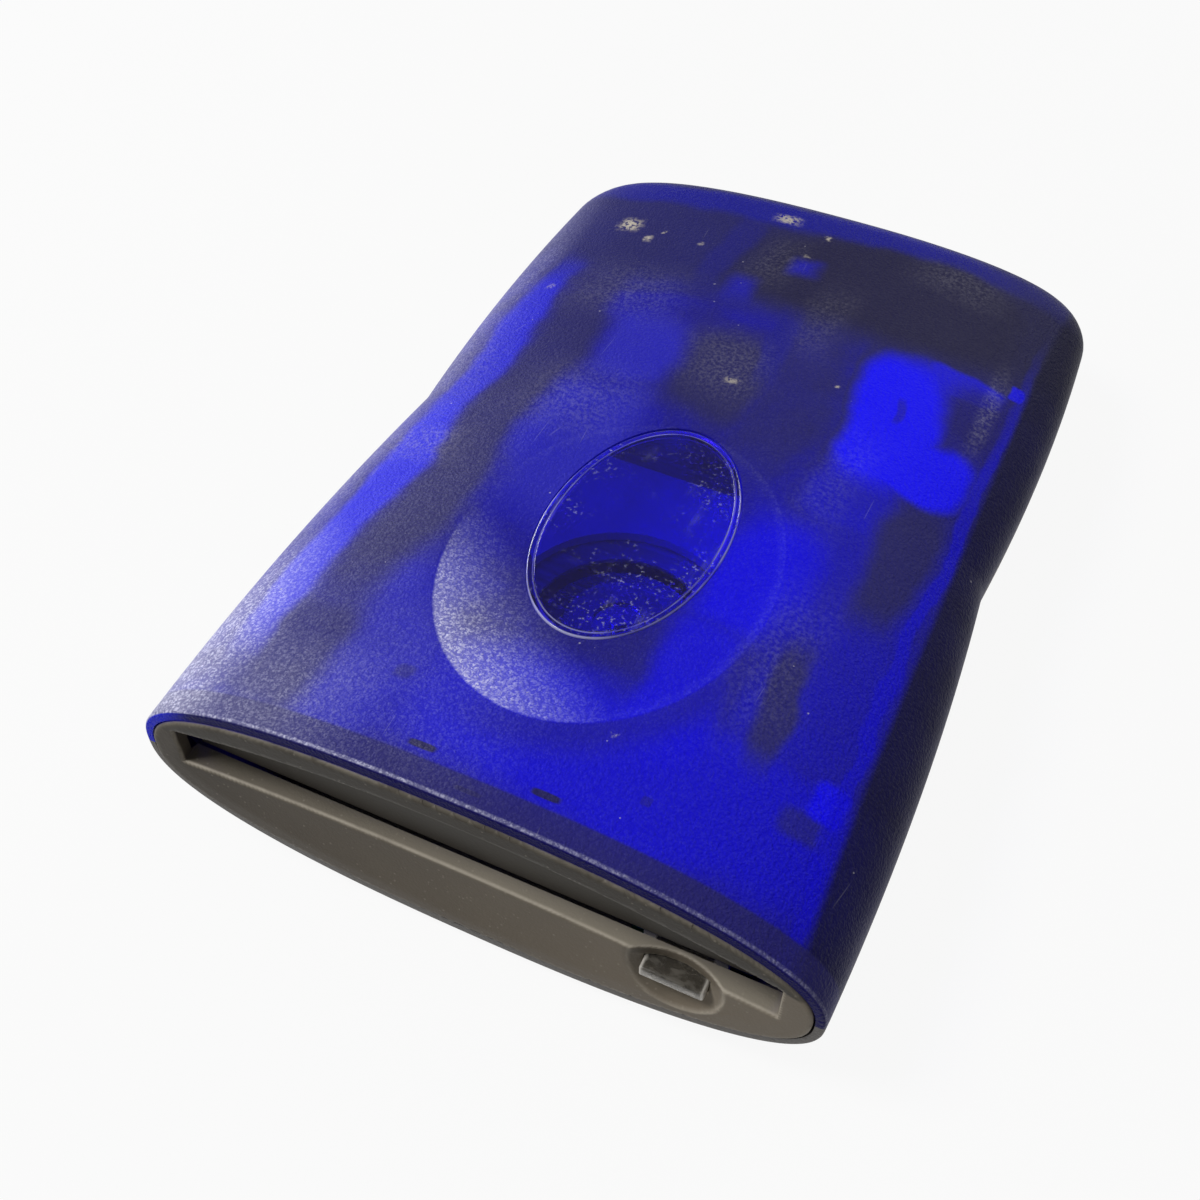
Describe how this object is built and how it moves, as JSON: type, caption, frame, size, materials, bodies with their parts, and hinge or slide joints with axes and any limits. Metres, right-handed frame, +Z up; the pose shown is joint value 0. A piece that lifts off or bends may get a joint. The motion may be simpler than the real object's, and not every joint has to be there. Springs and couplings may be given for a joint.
{
  "type": "removable disk drive",
  "caption": "Portable slot-loading removable disk drive in a rounded two-shell case with a translucent blue top, an oval window and a swinging slot flap.",
  "frame": {"origin": "on the surface that the feet stand on, in the middle of the case's footprint", "axes": "+X to the right seen from the slot, +Y towards the rear with the cable socket, +Z up"},
  "size_m": [0.1144, 0.171, 0.0404],
  "materials": {
    "blue_shell": "translucent blue, fine grain",
    "clear_lens": "clear, blue tinted, polished",
    "grey_shell": "fine grain",
    "bezel_plastic": "satin",
    "foot_rubber": "matt",
    "screw_steel": "zinc plated",
    "frame_steel": "plated sheet",
    "white_plastic": "moulded",
    "circuit_board": "solder mask",
    "chip_black": "moulded",
    "ribbon_film": "polyimide film",
    "socket_metal": "tin plated",
    "led_clear": "clear epoxy",
    "magnet_metal": "nickel plated",
    "polished_steel": "polished",
    "spring_steel": "spring wire",
    "clear_button": "clear, polished",
    "flap_plastic": "satin",
    "sled_plastic": "moulded, glass filled",
    "bearing_brass": "sintered bronze",
    "copper_winding": "enamelled wire"
  },
  "bodies": {
    "housing": {"top_cover": "blue_shell", "window_lens": "clear_lens", "bottom_cover": "grey_shell", "front_bezel": "bezel_plastic", "rubber_feet": "foot_rubber", "case_screws": "screw_steel", "chassis_frame": "frame_steel", "chassis_screws": "screw_steel", "left_guide_rail": "white_plastic", "right_guide_rail": "white_plastic", "lift_pins": "frame_steel", "main_board": "circuit_board", "board_chips": "chip_black", "interface_board": "circuit_board", "link_ribbon": "ribbon_film", "usb_socket": "socket_metal", "switch_board": "circuit_board", "eject_switch": "chip_black", "status_leds": "led_clear", "actuator_yoke": "frame_steel", "actuator_magnets": "magnet_metal", "guide_shaft": "polished_steel", "shaft_clip": "frame_steel", "eject_solenoid": "socket_metal", "latch_pivot": "polished_steel", "flap_spring": "spring_steel"},
    "button": {"eject_button": "clear_button", "button_spring": "spring_steel"},
    "flap": {"slot_flap": "flap_plastic"},
    "sled": {"disk_sled": "sled_plastic", "sled_catch": "frame_steel", "sled_springs": "spring_steel"},
    "motor_lift": {"motor_plate": "frame_steel", "motor_bearing": "bearing_brass", "motor_stator": "copper_winding"},
    "spindle": {"spindle_rotor": "polished_steel", "hub_magnet": "magnet_metal"},
    "head": {"head_carriage": "sled_plastic", "voice_coils": "copper_winding", "head_arms": "frame_steel", "recording_heads": "chip_black"},
    "latch": {"eject_latch": "frame_steel"},
    "plunger": {"solenoid_plunger": "polished_steel"}
  },
  "joints": [
    {"name": "button_press", "type": "slide", "parent": "housing", "child": "button", "axis": [0, 1, 0], "range_m": [0, 0.0012], "stiffness_N_per_m": 300, "deforming": ["button_spring"]},
    {"name": "flap_swing", "type": "hinge", "parent": "housing", "child": "flap", "pos_m": [0, -0.0794, 0.0292], "axis": [1, 0, 0], "range_deg": [0, 82], "stiffness_Nm_per_rad": 0.002},
    {"name": "sled_slide", "type": "slide", "parent": "housing", "child": "sled", "axis": [0, 1, 0], "range_m": [0, 0.014], "stiffness_N_per_m": 60, "deforming": ["sled_springs"]},
    {"name": "motor_raise", "type": "slide", "parent": "housing", "child": "motor_lift", "axis": [0, 0, 1], "range_m": [0, 0.0024]},
    {"name": "spindle_spin", "type": "hinge", "parent": "motor_lift", "child": "spindle", "pos_m": [0, -0.0301, 0.0137], "axis": [0, 0, 1], "continuous": true},
    {"name": "head_seek", "type": "slide", "parent": "housing", "child": "head", "axis": [0, -1, 0], "range_m": [0, 0.0235]},
    {"name": "latch_swing", "type": "hinge", "parent": "housing", "child": "latch", "pos_m": [-0.0335, 0.0279, 0.0199], "axis": [0, 0, 1], "range_deg": [0, 14]},
    {"name": "plunger_pull", "type": "slide", "parent": "housing", "child": "plunger", "axis": [-1, 0, 0], "range_m": [0, 0.00217], "stiffness_N_per_m": 50}
  ],
  "couplings": [
    {"joint": "motor_raise", "follows": "sled_slide", "ratio": 0.1714},
    {"joint": "latch_swing", "follows": "plunger_pull", "rad_per_m": 112.36}
  ]
}
